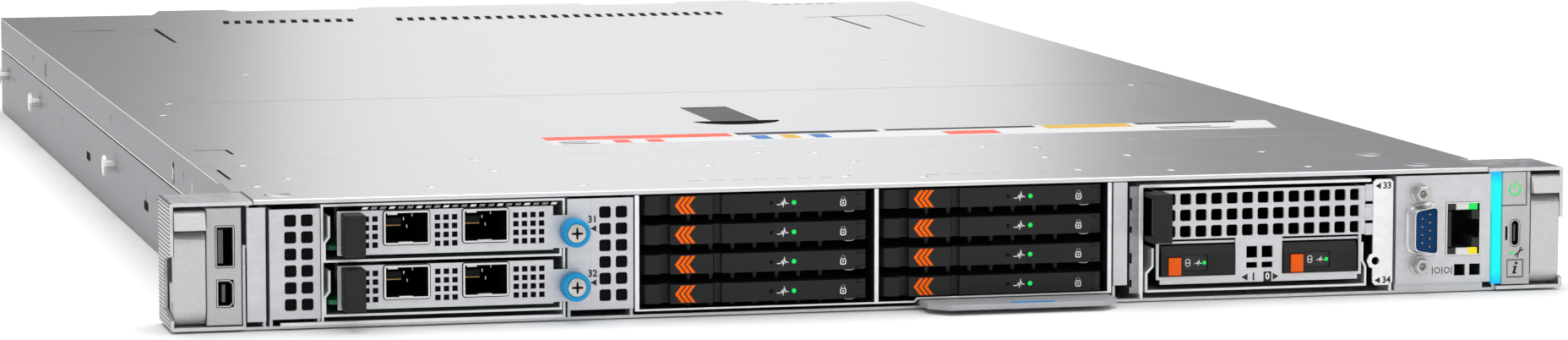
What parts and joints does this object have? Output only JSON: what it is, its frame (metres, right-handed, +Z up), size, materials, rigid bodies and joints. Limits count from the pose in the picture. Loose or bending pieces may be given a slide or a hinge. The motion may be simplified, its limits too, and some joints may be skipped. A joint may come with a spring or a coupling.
{
  "type": "1u rack server",
  "caption": "Low rack-mount server with sliding drive carriers, network cards, boot module, rear power supplies, rack ears with latches and a lift-off top cover.",
  "frame": {"origin": "centre of the chassis underside, in the plane where the rack ears bear on the rack posts", "axes": "+X towards the server's right as seen from its front, +Y from the front to the rear, +Z up"},
  "size_m": [0.482, 0.8185, 0.0428],
  "materials": {
    "zinc_sheet": "zinc-coated sheet steel with a fine mottled sheen",
    "stud_steel": "turned bright steel",
    "grey_panel": "light grey moulded plastic, finely textured",
    "socket_metal": "plated socket shells with dark inserts",
    "light_blue": "translucent light guide, lit cyan",
    "board_green": "dark green circuit board",
    "bare_aluminium": "bare extruded aluminium",
    "black_plastic": "black moulded plastic",
    "tag_grey": "grey satin plastic with a blue stripe",
    "supply_case": "plated supply housing",
    "blue_plastic": "blue knob with a steel core",
    "card_face": "plated card face over a green board",
    "drive_black": "black satin drive front",
    "drive_case": "black anodised drive case and carrier"
  },
  "bodies": {
    "chassis": {"chassis_base": "zinc_sheet", "front_top_panel": "zinc_sheet", "rack_ear_left": "zinc_sheet", "rack_ear_right": "zinc_sheet", "port_panel": "grey_panel", "control_panel": "grey_panel", "front_sockets": "socket_metal", "light_bar": "light_blue", "front_plates": "zinc_sheet", "card_bay_frame": "zinc_sheet", "drive_cage": "zinc_sheet", "drive_backplane": "board_green", "management_panel": "zinc_sheet", "boot_bay_frame": "zinc_sheet", "rail_studs": "stud_steel", "system_board": "board_green", "heat_sinks": "bare_aluminium", "memory_modules": "board_green", "air_shroud": "black_plastic", "fan_modules": "black_plastic"},
    "top_cover": {"top_cover": "zinc_sheet"},
    "cover_latch": {"cover_latch": "black_plastic"},
    "latch_left": {"latch_left": "grey_panel"},
    "latch_right": {"latch_right": "grey_panel"},
    "power_button": {"power_button": "grey_panel"},
    "info_button": {"info_button": "grey_panel"},
    "info_tag": {"info_tag": "tag_grey"},
    "network_card_1": {"network_card_1": "card_face"},
    "network_card_2": {"network_card_2": "card_face"},
    "thumbscrew_1": {"thumbscrew_1": "blue_plastic"},
    "thumbscrew_2": {"thumbscrew_2": "blue_plastic"},
    "boot_module": {"boot_module": "zinc_sheet"},
    "boot_drive_0": {"boot_drive_0": "drive_black"},
    "boot_drive_1": {"boot_drive_1": "drive_black"},
    "power_supply_1": {"power_supply_1": "supply_case"},
    "power_supply_2": {"power_supply_2": "supply_case"},
    "drive_1": {"drive_1": "drive_case"},
    "drive_handle_1": {"drive_handle_1": "drive_black"},
    "drive_release_1": {"drive_release_1": "drive_black"},
    "drive_2": {"drive_2": "drive_case"},
    "drive_handle_2": {"drive_handle_2": "drive_black"},
    "drive_release_2": {"drive_release_2": "drive_black"},
    "drive_3": {"drive_3": "drive_case"},
    "drive_handle_3": {"drive_handle_3": "drive_black"},
    "drive_release_3": {"drive_release_3": "drive_black"},
    "drive_4": {"drive_4": "drive_case"},
    "drive_handle_4": {"drive_handle_4": "drive_black"},
    "drive_release_4": {"drive_release_4": "drive_black"},
    "drive_5": {"drive_5": "drive_case"},
    "drive_handle_5": {"drive_handle_5": "drive_black"},
    "drive_release_5": {"drive_release_5": "drive_black"},
    "drive_6": {"drive_6": "drive_case"},
    "drive_handle_6": {"drive_handle_6": "drive_black"},
    "drive_release_6": {"drive_release_6": "drive_black"},
    "drive_7": {"drive_7": "drive_case"},
    "drive_handle_7": {"drive_handle_7": "drive_black"},
    "drive_release_7": {"drive_release_7": "drive_black"},
    "drive_8": {"drive_8": "drive_case"},
    "drive_handle_8": {"drive_handle_8": "drive_black"},
    "drive_release_8": {"drive_release_8": "drive_black"}
  },
  "joints": [
    {"name": "cover_lift", "type": "slide", "parent": "chassis", "child": "top_cover", "axis": [0, 0, 1], "range_m": [0, 0.06]},
    {"name": "cover_latch_hinge", "type": "hinge", "parent": "top_cover", "child": "cover_latch", "pos_m": [0, 0.2464, 0.0412], "axis": [-1, 0, 0], "range_deg": [0, 60]},
    {"name": "latch_left_hinge", "type": "hinge", "parent": "chassis", "child": "latch_left", "pos_m": [-0.2345, -0.022, 0.008], "axis": [1, 0, 0], "range_deg": [0, 35], "stiffness_Nm_per_rad": 0.05, "springref_deg": -11.46},
    {"name": "latch_right_hinge", "type": "hinge", "parent": "chassis", "child": "latch_right", "pos_m": [0.2345, -0.022, 0.008], "axis": [1, 0, 0], "range_deg": [0, 35], "stiffness_Nm_per_rad": 0.05, "springref_deg": -11.46},
    {"name": "power_press", "type": "slide", "parent": "chassis", "child": "power_button", "axis": [0, 1, 0], "range_m": [0, 0.0015], "stiffness_N_per_m": 600, "springref_m": -0.001},
    {"name": "info_press", "type": "slide", "parent": "chassis", "child": "info_button", "axis": [0, 1, 0], "range_m": [0, 0.001], "stiffness_N_per_m": 400, "springref_m": -0.001},
    {"name": "tag_slide", "type": "slide", "parent": "chassis", "child": "info_tag", "axis": [0, -1, 0], "range_m": [0, 0.06]},
    {"name": "card_slide_1", "type": "slide", "parent": "chassis", "child": "network_card_1", "axis": [0, -1, 0], "range_m": [0, 0.095]},
    {"name": "thumbscrew_turn_1", "type": "hinge", "parent": "network_card_1", "child": "thumbscrew_1", "pos_m": [-0.1077, -0.033, 0.0298], "axis": [0, 1, 0], "continuous": true},
    {"name": "card_slide_2", "type": "slide", "parent": "chassis", "child": "network_card_2", "axis": [0, -1, 0], "range_m": [0, 0.095]},
    {"name": "thumbscrew_turn_2", "type": "hinge", "parent": "network_card_2", "child": "thumbscrew_2", "pos_m": [-0.1077, -0.033, 0.0119], "axis": [0, 1, 0], "continuous": true},
    {"name": "boot_module_slide", "type": "slide", "parent": "chassis", "child": "boot_module", "axis": [0, -1, 0], "range_m": [0, 0.09]},
    {"name": "boot_drive_slide_0", "type": "slide", "parent": "boot_module", "child": "boot_drive_0", "axis": [0, -1, 0], "range_m": [0, 0.07]},
    {"name": "boot_drive_slide_1", "type": "slide", "parent": "boot_module", "child": "boot_drive_1", "axis": [0, -1, 0], "range_m": [0, 0.07]},
    {"name": "supply_slide_1", "type": "slide", "parent": "chassis", "child": "power_supply_1", "axis": [0, 1, 0], "range_m": [0, 0.15]},
    {"name": "supply_slide_2", "type": "slide", "parent": "chassis", "child": "power_supply_2", "axis": [0, 1, 0], "range_m": [0, 0.15]},
    {"name": "drive_slide_1", "type": "slide", "parent": "chassis", "child": "drive_1", "axis": [0, -1, 0], "range_m": [0, 0.095]},
    {"name": "handle_swing_1", "type": "hinge", "parent": "drive_1", "child": "drive_handle_1", "pos_m": [-0.0095, -0.0259, 0.0373], "axis": [0, 0, 1], "range_deg": [0, 45]},
    {"name": "release_press_1", "type": "slide", "parent": "drive_1", "child": "drive_release_1", "axis": [-1, 0, 0], "range_m": [0, 0.0026], "stiffness_N_per_m": 300, "springref_m": -0.001},
    {"name": "drive_slide_2", "type": "slide", "parent": "chassis", "child": "drive_2", "axis": [0, -1, 0], "range_m": [0, 0.095]},
    {"name": "handle_swing_2", "type": "hinge", "parent": "drive_2", "child": "drive_handle_2", "pos_m": [-0.0095, -0.0259, 0.02743], "axis": [0, 0, 1], "range_deg": [0, 45]},
    {"name": "release_press_2", "type": "slide", "parent": "drive_2", "child": "drive_release_2", "axis": [-1, 0, 0], "range_m": [0, 0.0026], "stiffness_N_per_m": 300, "springref_m": -0.001},
    {"name": "drive_slide_3", "type": "slide", "parent": "chassis", "child": "drive_3", "axis": [0, -1, 0], "range_m": [0, 0.095]},
    {"name": "handle_swing_3", "type": "hinge", "parent": "drive_3", "child": "drive_handle_3", "pos_m": [-0.0095, -0.0259, 0.01756], "axis": [0, 0, 1], "range_deg": [0, 45]},
    {"name": "release_press_3", "type": "slide", "parent": "drive_3", "child": "drive_release_3", "axis": [-1, 0, 0], "range_m": [0, 0.0026], "stiffness_N_per_m": 300, "springref_m": -0.001},
    {"name": "drive_slide_4", "type": "slide", "parent": "chassis", "child": "drive_4", "axis": [0, -1, 0], "range_m": [0, 0.095]},
    {"name": "handle_swing_4", "type": "hinge", "parent": "drive_4", "child": "drive_handle_4", "pos_m": [-0.0095, -0.0259, 0.00769], "axis": [0, 0, 1], "range_deg": [0, 45]},
    {"name": "release_press_4", "type": "slide", "parent": "drive_4", "child": "drive_release_4", "axis": [-1, 0, 0], "range_m": [0, 0.0026], "stiffness_N_per_m": 300, "springref_m": -0.001},
    {"name": "drive_slide_5", "type": "slide", "parent": "chassis", "child": "drive_5", "axis": [0, -1, 0], "range_m": [0, 0.095]},
    {"name": "handle_swing_5", "type": "hinge", "parent": "drive_5", "child": "drive_handle_5", "pos_m": [0.0725, -0.0259, 0.0373], "axis": [0, 0, 1], "range_deg": [0, 45]},
    {"name": "release_press_5", "type": "slide", "parent": "drive_5", "child": "drive_release_5", "axis": [-1, 0, 0], "range_m": [0, 0.0026], "stiffness_N_per_m": 300, "springref_m": -0.001},
    {"name": "drive_slide_6", "type": "slide", "parent": "chassis", "child": "drive_6", "axis": [0, -1, 0], "range_m": [0, 0.095]},
    {"name": "handle_swing_6", "type": "hinge", "parent": "drive_6", "child": "drive_handle_6", "pos_m": [0.0725, -0.0259, 0.02743], "axis": [0, 0, 1], "range_deg": [0, 45]},
    {"name": "release_press_6", "type": "slide", "parent": "drive_6", "child": "drive_release_6", "axis": [-1, 0, 0], "range_m": [0, 0.0026], "stiffness_N_per_m": 300, "springref_m": -0.001},
    {"name": "drive_slide_7", "type": "slide", "parent": "chassis", "child": "drive_7", "axis": [0, -1, 0], "range_m": [0, 0.095]},
    {"name": "handle_swing_7", "type": "hinge", "parent": "drive_7", "child": "drive_handle_7", "pos_m": [0.0725, -0.0259, 0.01756], "axis": [0, 0, 1], "range_deg": [0, 45]},
    {"name": "release_press_7", "type": "slide", "parent": "drive_7", "child": "drive_release_7", "axis": [-1, 0, 0], "range_m": [0, 0.0026], "stiffness_N_per_m": 300, "springref_m": -0.001},
    {"name": "drive_slide_8", "type": "slide", "parent": "chassis", "child": "drive_8", "axis": [0, -1, 0], "range_m": [0, 0.095]},
    {"name": "handle_swing_8", "type": "hinge", "parent": "drive_8", "child": "drive_handle_8", "pos_m": [0.0725, -0.0259, 0.00769], "axis": [0, 0, 1], "range_deg": [0, 45]},
    {"name": "release_press_8", "type": "slide", "parent": "drive_8", "child": "drive_release_8", "axis": [-1, 0, 0], "range_m": [0, 0.0026], "stiffness_N_per_m": 300, "springref_m": -0.001}
  ]
}
